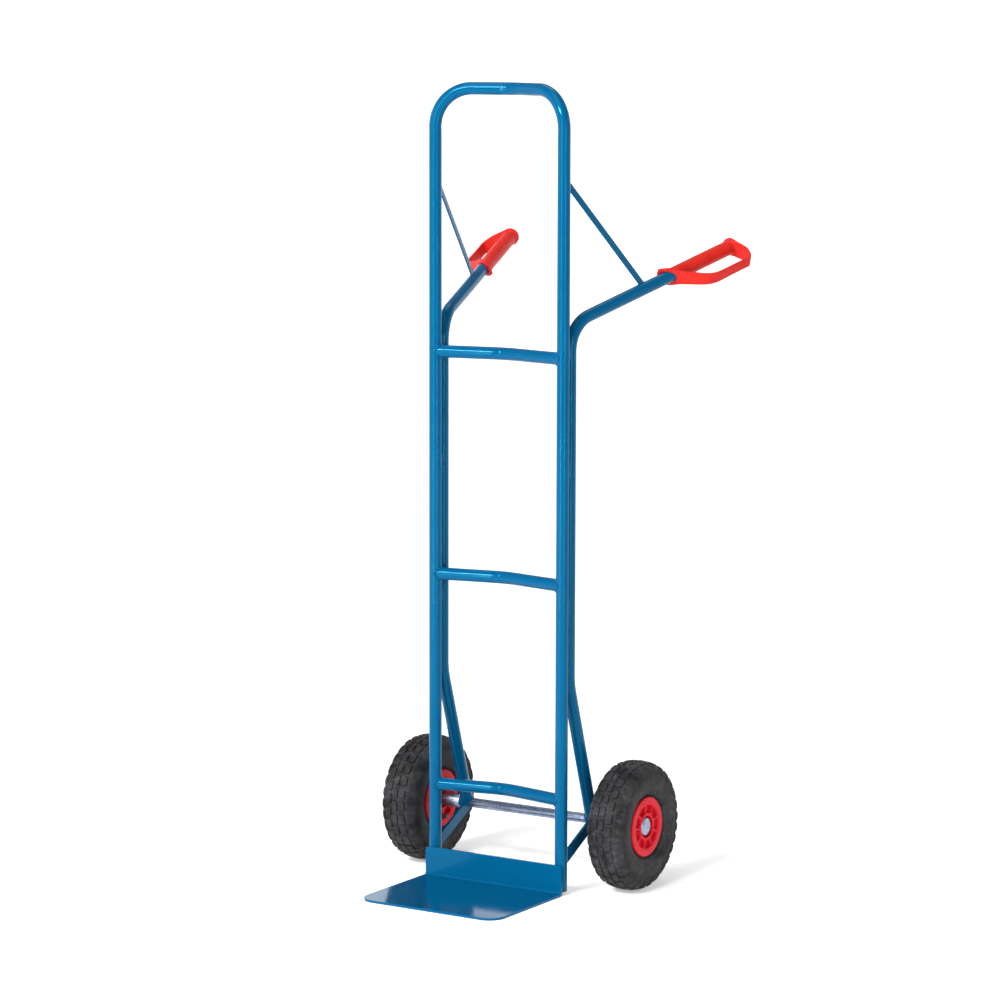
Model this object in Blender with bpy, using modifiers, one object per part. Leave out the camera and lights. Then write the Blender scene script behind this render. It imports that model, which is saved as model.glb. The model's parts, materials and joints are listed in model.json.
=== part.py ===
"""Two-wheeled stack truck (hand truck), modelled piece by piece.

Welded steel-tube frame: a hoop with kinked crossbars, two handle tubes that run behind the rails from
the axle up to the splayed handles, flat-bar braces, a folded toe plate and a fixed axle.  Two
pneumatic wheels on two-piece plastic rims turn on roller cages.  Guarded plastic grips close the
handle tubes.

Metres, +Z up.  The load side (toe plate) faces -Y, the handles and wheels +Y.  X is left-right.
The origin is on the floor, under the middle of the truck's bounding box.
"""
import bmesh
import bpy
from math import ceil, cos, pi, radians, sin, tan
from mathutils import Matrix, Vector

MM = 0.001
GAP = 0.3 * MM                      # gap left between pieces that touch

# Frame
TUBE_R = 12.7 * MM                  # every frame tube is 25.4 mm outside
TUBE_WALL = 2.0 * MM
RAIL_X = 149.0 * MM                 # rail centre to truck centre line
RAIL_Y = -103.0 * MM                # plane of the two rails
RAIL_FOOT_Z = 12.0 * MM
HOOP_TOP_Z = 1588.0 * MM            # centre line of the hoop's top run
HOOP_KINK = 50.9 * MM               # set-back of the hoop's top at its middle
HOOP_CORNER_R = 75.0 * MM
HOOP_KINK_R = 85.0 * MM
CROSSBAR_Z = {"upper": 1067.5 * MM, "middle": 620.0 * MM, "lower": 190.0 * MM}
CROSSBAR_KINK = 29.8 * MM
CROSSBAR_KINK_R = 150.0 * MM

# Handles
HANDLE_Y = RAIL_Y + 2 * TUBE_R + GAP
HANDLE_BEND_Z = 1133.0 * MM         # where the tube's upright and handle centre lines meet
HANDLE_BEND_R = 70.0 * MM
HANDLE_SPLAY = radians(14.8)        # outwards, seen from above
HANDLE_RISE = radians(16.3)         # above the horizontal
HANDLE_TUBE_END = 450.0 * MM        # along the handle, from the bend point
LEG_TOP_Z = 420.0 * MM              # where the upright bends back to the axle
LEG_BEND_R = 120.0 * MM
BRACE_RAIL_Z = 1418.0 * MM
BRACE_ALONG = 214.0 * MM            # along the handle, from the bend point
BRACE_WIDTH = 13.0 * MM
BRACE_THICK = 3.0 * MM
BORE_OVERRUN = 20.0 * MM            # how far a bore cutter runs past an open tube end

# Toe plate
TOE_WIDTH = 322.0 * MM
TOE_FRONT_Y = -366.0 * MM
TOE_THICK = 5.0 * MM
TOE_UPSTAND = 62.0 * MM
TOE_CORNER_R = 35.0 * MM
TOE_BEND_R = 9.0 * MM               # outside radius of the fold

# Axle and wheels, local z outwards from the tyre's middle plane
AXLE_R = 10.0 * MM
AXLE_Y = RAIL_Y + 119.0 * MM
AXLE_Z = 130.0 * MM                 # the tyre's outer radius
WHEEL_X = 244.0 * MM
STRUT_RAIL_Z = 62.0 * MM
STRUT_WIDTH = 22.0 * MM
STRUT_THICK = 6.0 * MM
STRUT_DROP = 6.0 * MM               # the strut meets the axle this far below its centre
WHEEL_TURN = radians(7.7)           # where the wheels stand at rest
RIM_WINDOWS = 9
WINDOW_INNER_R = 28.0 * MM
WINDOW_OUTER_R = 44.0 * MM
WINDOW_FLOOR = 24.5 * MM
RIB_HALF = 1.6 * MM
VALVE_R = (WINDOW_INNER_R + WINDOW_OUTER_R) / 2
VALVE_BEND_R = 7.0 * MM
VALVE_Z = -12.0 * MM                # the stem leaves the inner tube on the truck's side
VALVE_END = -38.0 * MM
VALVE_CAP_END = -49.0 * MM
AIR_CENTRE_R = 88.0 * MM            # section of the inner tube
AIR_HALF_WIDTH = 29.0 * MM
AIR_HALF_DEPTH = 31.5 * MM
AIR_WALL = 2.0 * MM
HUB_BORE_R = 15.9 * MM
CAGE_HALF = 21.6 * MM
ROLLER_R = 2.4 * MM
ROLLER_HALF = 17.0 * MM
ROLLER_CIRCLE_R = 13.1 * MM
WASHER_R = 17.0 * MM
WASHER_FACES = (22.6 * MM, 24.3 * MM)
SLEEVE_R = 14.0 * MM
AXLE_OVERHANG = 29.0 * MM           # past the tyre's middle plane
WHEEL_FACETS = 24
ROLLERS = 8

# Grip, measured along the handle from the bend point and outwards from its axis
GRIP_R = 15.0 * MM
GRIP_MOUTH = 280.0 * MM             # mouth plane crosses the axis here
GRIP_END = 473.0 * MM
GUARD_REACH = 66.0 * MM             # outer face of the guard strap
GUARD_THICK = 6.5 * MM
GUARD_HALF_WIDTH = 7.0 * MM
GUARD_DROOP = radians(22.3)         # the guard hangs below the horizontal by this much

SIDES = {"left": -1, "right": 1}


# ---------------------------------------------------------------- scene helpers
def clear_scene():
    for obj in list(bpy.data.objects):
        bpy.data.objects.remove(obj, do_unlink=True)


def collection(name):
    coll = bpy.data.collections.new(name)
    bpy.context.scene.collection.children.link(coll)
    return coll


def material(name, rgb, roughness, metallic=0.0):
    mat = bpy.data.materials.new(name)
    mat.use_nodes = True
    shader = mat.node_tree.nodes["Principled BSDF"]
    shader.inputs["Base Color"].default_value = (*rgb, 1.0)
    shader.inputs["Roughness"].default_value = roughness
    shader.inputs["Metallic"].default_value = metallic
    mat.diffuse_color = (*rgb, 1.0)
    return mat


def add_object(name, data, coll, mat=None, parent=None):
    obj = bpy.data.objects.new(name, data)
    coll.objects.link(obj)
    if mat:
        data.materials.append(mat)
    obj.parent = parent
    return obj


def mesh_from_bmesh(name, bm):
    mesh = bpy.data.meshes.new(name)
    bm.to_mesh(mesh)
    bm.free()
    return mesh


def shade(mesh, angle=radians(40)):
    mesh.shade_smooth()
    mesh.set_sharp_from_angle(angle=angle)


def frame_matrix(x_axis, y_axis, z_axis, origin):
    rows = Matrix((x_axis, y_axis, z_axis)).transposed()
    return Matrix.Translation(origin) @ rows.to_4x4()


def align_z(direction, origin):
    return Matrix.Translation(origin) @ direction.to_track_quat("Z", "Y").to_matrix().to_4x4()


def subtract(target, *cutters):
    for cutter in cutters:
        mod = target.modifiers.new("cut_" + cutter.name, "BOOLEAN")
        mod.operation = "DIFFERENCE"
        mod.object = cutter


def unite(target, other):
    mod = target.modifiers.new("join_" + other.name, "BOOLEAN")
    mod.operation = "UNION"
    mod.object = other


def bake_modifiers(obj):
    """Replace an object's mesh by its evaluated one, so that others can share it."""
    bpy.context.view_layer.update()
    evaluated = obj.evaluated_get(bpy.context.evaluated_depsgraph_get())
    mesh = bpy.data.meshes.new_from_object(evaluated)
    obj.modifiers.clear()
    obj.data = mesh


# ---------------------------------------------------------------- shape helpers
def box_mesh(name, size, centre=(0, 0, 0)):
    bm = bmesh.new()
    bmesh.ops.create_cube(bm, size=1.0)
    bmesh.ops.scale(bm, vec=size, verts=bm.verts)
    bmesh.ops.translate(bm, vec=centre, verts=bm.verts)
    return mesh_from_bmesh(name, bm)


def rod_mesh(name, radius, start, end, sides=24):
    """Round bar between two points."""
    start, end = Vector(start), Vector(end)
    bm = bmesh.new()
    bmesh.ops.create_cone(bm, cap_ends=True, segments=sides, radius1=radius, radius2=radius,
                          depth=(end - start).length)
    bmesh.ops.transform(bm, matrix=align_z(end - start, (start + end) / 2), verts=bm.verts)
    mesh = mesh_from_bmesh(name, bm)
    shade(mesh)
    return mesh


def turned(name, profile, segments, coll, mat=None, parent=None, closed=True):
    """Solid of revolution about local Z from (radius, height) points."""
    area = sum(a[0] * b[1] - b[0] * a[1] for a, b in zip(profile, profile[1:] + profile[:1]))
    points = list(reversed(profile)) if area > 0 else list(profile)
    bm = bmesh.new()
    verts = [bm.verts.new((r, 0, h)) for r, h in points]
    for a, b in zip(verts, verts[1:] + verts[:1] if closed else verts[1:]):
        bm.edges.new((a, b))
    obj = add_object(name, mesh_from_bmesh(name, bm), coll, mat, parent)
    screw = obj.modifiers.new("turn", "SCREW")
    screw.steps = screw.render_steps = segments
    screw.use_merge_vertices = True
    screw.merge_threshold = 0.00001
    screw.use_smooth_shade = True
    return obj


def bent_path(corners, radii, step=radians(11)):
    """Polyline through the corners, each inner corner rounded to its radius."""
    corners = [Vector(c) for c in corners]
    points = [corners[0]]
    for before, corner, after, radius in zip(corners, corners[1:], corners[2:], radii):
        back, ahead = (before - corner).normalized(), (after - corner).normalized()
        turn = pi - back.angle(ahead)
        reach = radius * tan(turn / 2)
        centre = corner + (back + ahead).normalized() * radius / cos(turn / 2)
        first = corner + back * reach - centre
        axis = first.cross(corner + ahead * reach - centre).normalized()
        count = max(2, ceil(turn / step))
        points += [centre + Matrix.Rotation(turn * i / count, 3, axis) @ first
                   for i in range(count + 1)]
    return points + [corners[-1]]


def sweep_mesh(name, points, radius, resolution=4):
    """Round bar along a polyline, as a welded closed mesh."""
    curve = bpy.data.curves.new(name, "CURVE")
    curve.dimensions = "3D"
    curve.bevel_depth = radius
    curve.bevel_resolution = resolution
    curve.use_fill_caps = True
    spline = curve.splines.new("POLY")
    spline.points.add(len(points) - 1)
    for slot, point in zip(spline.points, points):
        slot.co = (*point, 1.0)
    return curve_to_mesh(name, curve)


def curve_to_mesh(name, curve):
    temp = bpy.data.objects.new(name + "_curve", curve)
    bpy.context.scene.collection.objects.link(temp)
    bpy.context.view_layer.update()
    evaluated = temp.evaluated_get(bpy.context.evaluated_depsgraph_get())
    mesh = bpy.data.meshes.new_from_object(evaluated)
    bpy.data.objects.remove(temp)
    bm = bmesh.new()
    bm.from_mesh(mesh)
    bmesh.ops.remove_doubles(bm, verts=bm.verts, dist=0.00001)
    bmesh.ops.recalc_face_normals(bm, faces=bm.faces)
    bm.to_mesh(mesh)
    bm.free()
    mesh.name = name
    mesh.materials.clear()
    shade(mesh)
    return mesh


def outline_mesh(name, loops, half_thickness):
    """Flat plate from closed 2D outlines (later loops are holes), thickness along local Z."""
    curve = bpy.data.curves.new(name, "CURVE")
    curve.dimensions = "2D"
    curve.fill_mode = "BOTH"
    curve.extrude = half_thickness
    for loop in loops:
        spline = curve.splines.new("POLY")
        spline.points.add(len(loop) - 1)
        spline.use_cyclic_u = True
        for slot, (x, y) in zip(spline.points, loop):
            slot.co = (x, y, 0.0, 1.0)
    return curve_to_mesh(name, curve)


def rounded_outline(corners, radii):
    """Closed 2D outline whose corners are rounded to their radii (0 keeps a sharp corner)."""
    outline = []
    count = len(corners)
    for i, radius in enumerate(radii):
        trio = [(*corners[(i + k) % count], 0.0) for k in (-1, 0, 1)]
        stretch = bent_path(trio, [radius], radians(18))[1:-1] if radius else [trio[1]]
        outline += [(p[0], p[1]) for p in stretch]
    return outline


def hollow(name, path, mat, cutters):
    """Tube along a path: an open-ended bore is cut through the swept bar."""
    head, tail = (path[0] - path[1]).normalized(), (path[-1] - path[-2]).normalized()
    bore_path = [path[0] + head * BORE_OVERRUN] + path[1:-1] + [path[-1] + tail * BORE_OVERRUN]
    tube = add_object(name, sweep_mesh(name, path, TUBE_R), TRUCK, mat)
    bore = cutter(name + "_bore", sweep_mesh(name + "_bore", bore_path, TUBE_R - TUBE_WALL, 3))
    subtract(tube, bore, *cutters)
    return tube


# ---------------------------------------------------------------- set-up
clear_scene()
TRUCK = collection("hand_truck")
CUTTERS = collection("cutters")

BLUE = material("powder_coat_blue", (0.0, 0.17, 0.45), 0.25)
RED_GRIP = material("grip_plastic_red", (0.80, 0.04, 0.03), 0.4)
RED_RIM = material("rim_plastic_red", (0.85, 0.02, 0.04), 0.35)
RUBBER = material("tyre_rubber", (0.06, 0.065, 0.07), 0.8)
BUTYL = material("inner_tube_rubber", (0.02, 0.02, 0.02), 0.6)
ZINC = material("zinc_plate", (0.62, 0.66, 0.72), 0.3, 1.0)
STEEL = material("bright_steel", (0.55, 0.55, 0.56), 0.3, 1.0)
NYLON = material("roller_cage_nylon", (0.75, 0.73, 0.66), 0.5)
BLACK_PE = material("plug_plastic_black", (0.02, 0.02, 0.02), 0.5)


def cutter(name, mesh, parent=None, matrix=None):
    obj = add_object(name, mesh, CUTTERS, parent=parent)
    obj.hide_render = True
    obj.display_type = "WIRE"
    if matrix:
        obj.matrix_local = matrix
    return obj


def side_point(sign, x, y, z):
    return Vector((sign * x, y, z))


def handle_direction(sign):
    return Vector((sign * sin(HANDLE_SPLAY) * cos(HANDLE_RISE),
                   cos(HANDLE_SPLAY) * cos(HANDLE_RISE), sin(HANDLE_RISE)))


def handle_point(sign, along):
    return side_point(sign, RAIL_X, HANDLE_Y, HANDLE_BEND_Z) + handle_direction(sign) * along


def handle_path(sign, end=HANDLE_TUBE_END):
    corners = [side_point(sign, RAIL_X, AXLE_Y, AXLE_Z),
               side_point(sign, RAIL_X, HANDLE_Y, LEG_TOP_Z),
               side_point(sign, RAIL_X, HANDLE_Y, HANDLE_BEND_Z),
               handle_point(sign, end)]
    return bent_path(corners, [LEG_BEND_R, HANDLE_BEND_R])


# ---------------------------------------------------------------- frame
def clearance_cutters():
    """Copies of the rails, axle and handle tubes, a gap larger, that cope the pieces meeting them."""
    found = {}
    for side, sign in SIDES.items():
        rail = rod_mesh("rail_cope_" + side, TUBE_R + GAP, (sign * RAIL_X, RAIL_Y, -0.05),
                        (sign * RAIL_X, RAIL_Y, HOOP_TOP_Z - 2 * HOOP_CORNER_R), 28)
        found["rail_" + side] = cutter("rail_cope_" + side, rail)
        handle = sweep_mesh("handle_cope_" + side, handle_path(sign), TUBE_R + GAP)
        found["handle_" + side] = cutter("handle_cope_" + side, handle)
    axle = rod_mesh("axle_cope", AXLE_R + GAP, (-WHEEL_X, AXLE_Y, AXLE_Z), (WHEEL_X, AXLE_Y, AXLE_Z))
    found["axle"] = cutter("axle_cope", axle)
    return found


def build_hoop():
    corners = [(-RAIL_X, RAIL_Y, RAIL_FOOT_Z), (-RAIL_X, RAIL_Y, HOOP_TOP_Z),
               (0, RAIL_Y + HOOP_KINK, HOOP_TOP_Z), (RAIL_X, RAIL_Y, HOOP_TOP_Z),
               (RAIL_X, RAIL_Y, RAIL_FOOT_Z)]
    path = bent_path(corners, [HOOP_CORNER_R, HOOP_KINK_R, HOOP_CORNER_R])
    hollow("main_hoop", path, BLUE, [])


def build_crossbars(cope):
    for place, height in CROSSBAR_Z.items():
        corners = [(-RAIL_X, RAIL_Y, height), (0, RAIL_Y + CROSSBAR_KINK, height),
                   (RAIL_X, RAIL_Y, height)]
        path = bent_path(corners, [CROSSBAR_KINK_R])
        neighbours = [cope[kind + side] for kind in ("rail_", "handle_") for side in SIDES]
        hollow("crossbar_" + place, path, BLUE, neighbours)


def build_handle_tubes(cope):
    for side, sign in SIDES.items():
        hollow("handle_tube_" + side, handle_path(sign), BLUE, [cope["axle"]])


def build_braces(cope):
    """Flat bar on edge, from each rail down to its handle tube."""
    for side, sign in SIDES.items():
        start = side_point(sign, RAIL_X, RAIL_Y, BRACE_RAIL_Z)
        end = handle_point(sign, BRACE_ALONG)
        along = (end - start).normalized()
        across = along.cross(Vector((0, 0, 1))).normalized()
        bar = box_mesh("handle_brace_" + side, (BRACE_THICK, BRACE_WIDTH, (end - start).length))
        obj = add_object("handle_brace_" + side, bar, TRUCK, BLUE)
        obj.matrix_world = frame_matrix(across, along.cross(across), along, (start + end) / 2)
        subtract(obj, cope["rail_" + side], cope["handle_" + side])


def build_axle_struts(cope):
    """Flat bar from each rail's foot back to the axle."""
    for side, sign in SIDES.items():
        start = side_point(sign, RAIL_X, RAIL_Y, STRUT_RAIL_Z)
        end = side_point(sign, RAIL_X, AXLE_Y, AXLE_Z - STRUT_DROP)
        along = (end - start).normalized()
        bar = box_mesh("axle_strut_" + side, (STRUT_THICK, STRUT_WIDTH, (end - start).length))
        obj = add_object("axle_strut_" + side, bar, TRUCK, BLUE)
        across = Vector((1, 0, 0))
        obj.matrix_world = frame_matrix(across, along.cross(across), along, (start + end) / 2)
        subtract(obj, cope["rail_" + side], cope["axle"], cope["handle_" + side])


def build_toe_plate():
    """Folded sheet: a blade on the floor and an upstand on the front of the rails."""
    back = RAIL_Y - TUBE_R - GAP
    corners = [(TOE_FRONT_Y, 0), (back, 0), (back, TOE_UPSTAND), (back - TOE_THICK, TOE_UPSTAND),
               (back - TOE_THICK, TOE_THICK), (TOE_FRONT_Y, TOE_THICK)]
    profile = rounded_outline(corners, [0, TOE_BEND_R, 0, 0, TOE_BEND_R - TOE_THICK, 0])
    plate = add_object("toe_plate", outline_mesh("toe_plate", [profile], TOE_WIDTH / 2), TRUCK, BLUE)
    plate.matrix_world = frame_matrix(Vector((0, 1, 0)), Vector((0, 0, 1)), Vector((1, 0, 0)),
                                      Vector((0, 0, 0)))
    half = TOE_WIDTH / 2 + MM
    plan = rounded_outline([(-half, TOE_FRONT_Y), (half, TOE_FRONT_Y), (half, 0), (-half, 0)],
                           [TOE_CORNER_R, TOE_CORNER_R, 0, 0])
    keep = cutter("toe_plan", outline_mesh("toe_plan", [plan], 0.2))
    mod = plate.modifiers.new("round_corners", "BOOLEAN")
    mod.operation = "INTERSECT"
    mod.object = keep


def build_rail_plugs():
    for side, sign in SIDES.items():
        bore = TUBE_R - TUBE_WALL - 0.9 * MM
        profile = [(0, 6 * MM), (TUBE_R - MM, 6 * MM), (TUBE_R - GAP, 7 * MM),
                   (TUBE_R - GAP, RAIL_FOOT_Z - GAP), (bore, RAIL_FOOT_Z - GAP), (bore, 28 * MM),
                   (bore - 2 * MM, 30 * MM), (0, 30 * MM)]
        plug = turned("rail_plug_" + side, profile, 16, TRUCK, BLACK_PE, closed=False)
        plug.location = (sign * RAIL_X, RAIL_Y, 0)


# ---------------------------------------------------------------- grips
def grip_matrix(sign):
    """Local X outwards through the guard, local Z along the handle."""
    along = handle_direction(sign)
    level = Vector((along.y * sign, -along.x * sign, 0)).normalized()
    down = along.cross(level) * sign
    outwards = level * cos(GUARD_DROOP) + down * sin(GUARD_DROOP)
    return frame_matrix(outwards, along.cross(outwards), along,
                        side_point(sign, RAIL_X, HANDLE_Y, HANDLE_BEND_Z))


def guard_outline():
    """Outer and inner loops of the D-shaped guard, as (outwards, along) points."""
    lean = GRIP_MOUTH - MM
    inner_reach = GUARD_REACH - GUARD_THICK
    leg = lean + 8.5 * MM
    inner_end = GRIP_END - 7 * MM
    near = 11 * MM
    outer = rounded_outline([(-GRIP_R, lean - GRIP_R), (GUARD_REACH, lean + GUARD_REACH),
                             (GUARD_REACH, GRIP_END), (-17 * MM, GRIP_END),
                             (-17 * MM, inner_end), (-8 * MM, inner_end)],
                            [0, 28 * MM, 26 * MM, 3 * MM, 0, 0])
    opening = rounded_outline([(near, leg + near), (inner_reach, leg + inner_reach),
                               (inner_reach, inner_end), (near, inner_end)],
                              [0, 18 * MM, 18 * MM, 0])
    return [outer, opening]


def build_grips():
    for side, sign in SIDES.items():
        place = grip_matrix(sign)
        sleeve = rod_mesh("grip_" + side, GRIP_R, (0, 0, GRIP_MOUTH - 20 * MM),
                          (0, 0, GRIP_END - 2 * MM))
        grip = add_object("grip_" + side, sleeve, TRUCK, RED_GRIP)
        grip.matrix_world = place
        guard = outline_mesh("guard_" + side, guard_outline(), GUARD_HALF_WIDTH)
        upright = Matrix(((1, 0, 0), (0, 0, 1), (0, 1, 0))).to_4x4()
        unite(grip, cutter("guard_" + side, guard, matrix=place @ upright))
        bore = rod_mesh("grip_bore_" + side, TUBE_R + GAP, (0, 0, GRIP_MOUTH - 0.05),
                        (0, 0, HANDLE_TUBE_END + 2 * MM))
        mouth = box_mesh("grip_mouth_" + side, (0.3, 0.3, 0.1), (0, 0, -0.05))
        slope = Matrix.Translation((0, 0, GRIP_MOUTH)) @ Matrix.Rotation(-pi / 4, 4, "Y")
        subtract(grip, cutter("grip_bore_" + side, bore, matrix=place),
                 cutter("grip_mouth_" + side, mouth, matrix=place @ slope))


# ---------------------------------------------------------------- axle and wheels
def build_axle():
    end = WHEEL_X + AXLE_OVERHANG
    rod = rod_mesh("axle", AXLE_R, (-end, AXLE_Y, AXLE_Z), (end, AXLE_Y, AXLE_Z))
    add_object("axle", rod, TRUCK, ZINC)


def ring(name, inner, outer, low, high, segments, mat, parent):
    profile = [(inner, low), (outer, low), (outer, high), (inner, high)]
    return turned(name, profile, segments, TRUCK, mat, parent)


def build_axle_fittings(side, hub):
    """What sits on the axle and doesn't turn: spacer sleeve, washers and the push-on cap."""
    bore = AXLE_R + GAP
    tube_face = RAIL_X + TUBE_R + GAP - WHEEL_X
    near, far = WASHER_FACES
    ring("spacer_sleeve_" + side, bore, SLEEVE_R, tube_face, -far - GAP, 20, ZINC, hub)
    ring("washer_inner_" + side, bore, WASHER_R, -far, -near, 20, ZINC, hub)
    ring("washer_outer_" + side, bore, WASHER_R, near, far, 20, ZINC, hub)
    dome = [(0, 34 * MM), (10 * MM, 33 * MM), (16 * MM, 30 * MM), (18.4 * MM, 27 * MM),
            (18.8 * MM, 24.6 * MM), (bore, 24.6 * MM), (bore, 26 * MM), (16 * MM, 26.2 * MM),
            (14.5 * MM, 29.4 * MM), (9 * MM, 31.8 * MM), (0, 32.6 * MM)]
    turned("axle_cap_" + side, dome, 20, TRUCK, ZINC, hub, closed=False)


def tyre_profile():
    """Closed (radius, offset) section: crown to bead outside, bead to crown inside, both sides."""
    outer = [(130, 0), (128.5, 20), (122, 33), (103, 40.7), (86, 40.4), (70, 35), (61.5, 28),
             (57, 25.9), (51.1, 24.8), (51.1, 15)]
    inner = [(57, 17.5), (68, 26.5), (86, 34.6), (102, 34.6), (117, 26), (122, 0)]
    near = [(r * MM, z * MM) for r, z in outer + inner]
    far = [(r, -z) for r, z in reversed(near[1:-1])]
    return near + far


def rim_profile():
    """Section of one rim half: barrel, flange, web with its face, counterbore and hub tube."""
    points = [(46.8, 0.15), (50.5, 0.15), (50.5, 25.2), (56, 26.4), (59.6, 29), (60, 31.5),
              (58.5, 33.5), (45.5, 33.5), (45, 32), (21.7, 32), (21.7, 22.3), (16.2, 22.3),
              (16.2, 0.15), (20.5, 0.15), (21, 20.5), (46.8, 20.5)]
    return [(r * MM, z * MM) for r, z in points]


def window_cutter(name, hub):
    """Nine sector-shaped pockets between the ribs of the rim's face."""
    bm = bmesh.new()
    half = pi / RIM_WINDOWS
    for i in range(RIM_WINDOWS):
        middle = 2 * half * i
        low = []
        for radius in (WINDOW_INNER_R, WINDOW_OUTER_R):
            spread = half - RIB_HALF / radius
            turns = [middle + spread * k for k in (-1, 0, 1)]
            arc = [(radius * cos(a), radius * sin(a)) for a in turns]
            low += arc if not low else list(reversed(arc))
        floor = bm.faces.new([bm.verts.new((x, y, WINDOW_FLOOR)) for x, y in low])
        raised = bmesh.ops.extrude_face_region(bm, geom=[floor])["geom"]
        top = [v for v in raised if isinstance(v, bmesh.types.BMVert)]
        bmesh.ops.translate(bm, vec=(0, 0, 12 * MM), verts=top)
    bmesh.ops.recalc_face_normals(bm, faces=bm.faces)
    return cutter(name, mesh_from_bmesh(name, bm), hub)


def valve_path(radius_start, axial_end):
    corners = [(radius_start, 0, VALVE_Z), (VALVE_R, 0, VALVE_Z), (VALVE_R, 0, axial_end)]
    return bent_path(corners, [VALVE_BEND_R], radians(30))


def build_rim_half(name, flip, windows, extra, hub):
    half = turned(name, rim_profile(), WHEEL_FACETS, TRUCK, RED_RIM, hub)
    subtract(half, windows)
    bake_modifiers(half)
    if flip:
        half.data.transform(Matrix.Rotation(pi, 4, "X"))
    subtract(half, *extra)


def build_inner_tube(side, hub):
    steps = 8

    def oval(inset):
        width, depth = AIR_HALF_WIDTH - inset, AIR_HALF_DEPTH - inset
        turns = [2 * pi * i / steps for i in range(steps)]
        return [(AIR_CENTRE_R + depth * cos(a), width * sin(a)) for a in turns]
    tube = turned("inner_tube_" + side, oval(0), 20, TRUCK, BUTYL, hub)
    air = turned("air_" + side, oval(AIR_WALL), 20, CUTTERS, parent=hub)
    air.hide_render = True
    air.display_type = "WIRE"
    hole = cutter("valve_hole_" + side, rod_mesh("valve_hole_" + side, 3.4 * MM,
                  (50 * MM, 0, VALVE_Z), (66 * MM, 0, VALVE_Z), 12), hub)
    subtract(tube, air, hole)


def build_roller_bearing(side, hub):
    """Nylon cage that fills the hub bore, with steel rollers in its slots."""
    cage = ring("roller_cage_" + side, AXLE_R + GAP, HUB_BORE_R, -CAGE_HALF, CAGE_HALF, 24, NYLON,
                hub)
    slots = bmesh.new()
    pin = rod_mesh("bearing_roller", ROLLER_R, (0, 0, -ROLLER_HALF), (0, 0, ROLLER_HALF), 8)
    slot_size = (12 * MM, 2 * (ROLLER_R + GAP), 2 * ROLLER_HALF + 2 * MM)
    for i in range(ROLLERS):
        turn = Matrix.Rotation(2 * pi * i / ROLLERS, 4, "Z")
        slot = bmesh.ops.create_cube(slots, size=1.0)["verts"]
        bmesh.ops.scale(slots, vec=slot_size, verts=slot)
        bmesh.ops.transform(slots, matrix=turn @ Matrix.Translation((14 * MM, 0, 0)), verts=slot)
        roller = bpy.data.objects.new(f"bearing_roller_{side}_{i + 1}", pin)
        TRUCK.objects.link(roller)
        roller.parent = hub
        roller.location = turn @ Vector((ROLLER_CIRCLE_R, 0, 0))
    pin.materials.append(STEEL)
    subtract(cage, cutter("roller_slots_" + side, mesh_from_bmesh("roller_slots", slots), hub))


def build_wheel(side, sign):
    hub = bpy.data.objects.new("wheel_axis_" + side, None)
    TRUCK.objects.link(hub)
    outwards = Matrix.Rotation(sign * pi / 2, 4, "Y")
    if sign < 0:
        outwards = outwards @ Matrix.Rotation(pi, 4, "Z")   # both valves point the same way
    outwards = outwards @ Matrix.Rotation(WHEEL_TURN, 4, "Z")
    hub.matrix_world = Matrix.Translation((sign * WHEEL_X, AXLE_Y, AXLE_Z)) @ outwards
    bpy.context.view_layer.update()
    windows = window_cutter("rim_windows_" + side, hub)

    turned("tyre_" + side, tyre_profile(), WHEEL_FACETS, TRUCK, RUBBER, hub)
    build_inner_tube(side, hub)
    way = cutter("valve_way_" + side,
                 sweep_mesh("valve_way", valve_path(70 * MM, -60 * MM), 3.6 * MM, 3), hub)
    build_rim_half("rim_outer_" + side, False, windows, [], hub)
    build_rim_half("rim_inner_" + side, True, windows, [way], hub)
    stem = sweep_mesh("valve_stem_" + side, valve_path(60 * MM, VALVE_END), 3 * MM, 3)
    add_object("valve_stem_" + side, stem, TRUCK, BUTYL, hub)
    cap = rod_mesh("valve_cap_" + side, 4.2 * MM, (VALVE_R, 0, VALVE_END - GAP),
                   (VALVE_R, 0, VALVE_CAP_END), 12)
    add_object("valve_cap_" + side, cap, TRUCK, BLACK_PE, hub)
    build_roller_bearing(side, hub)
    build_axle_fittings(side, hub)


def build_truck():
    cope = clearance_cutters()
    build_hoop()
    build_crossbars(cope)
    build_handle_tubes(cope)
    build_braces(cope)
    build_axle_struts(cope)
    build_toe_plate()
    build_rail_plugs()
    build_grips()
    build_axle()
    for side, sign in SIDES.items():
        build_wheel(side, sign)


build_truck()
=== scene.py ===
import json
from math import atan2, ceil, copysign, cos, hypot, pi, radians, sin, sqrt, tan

import bmesh
import bpy
import numpy as np
from mathutils import Matrix, Vector
from mathutils.geometry import delaunay_2d_cdt


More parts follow.
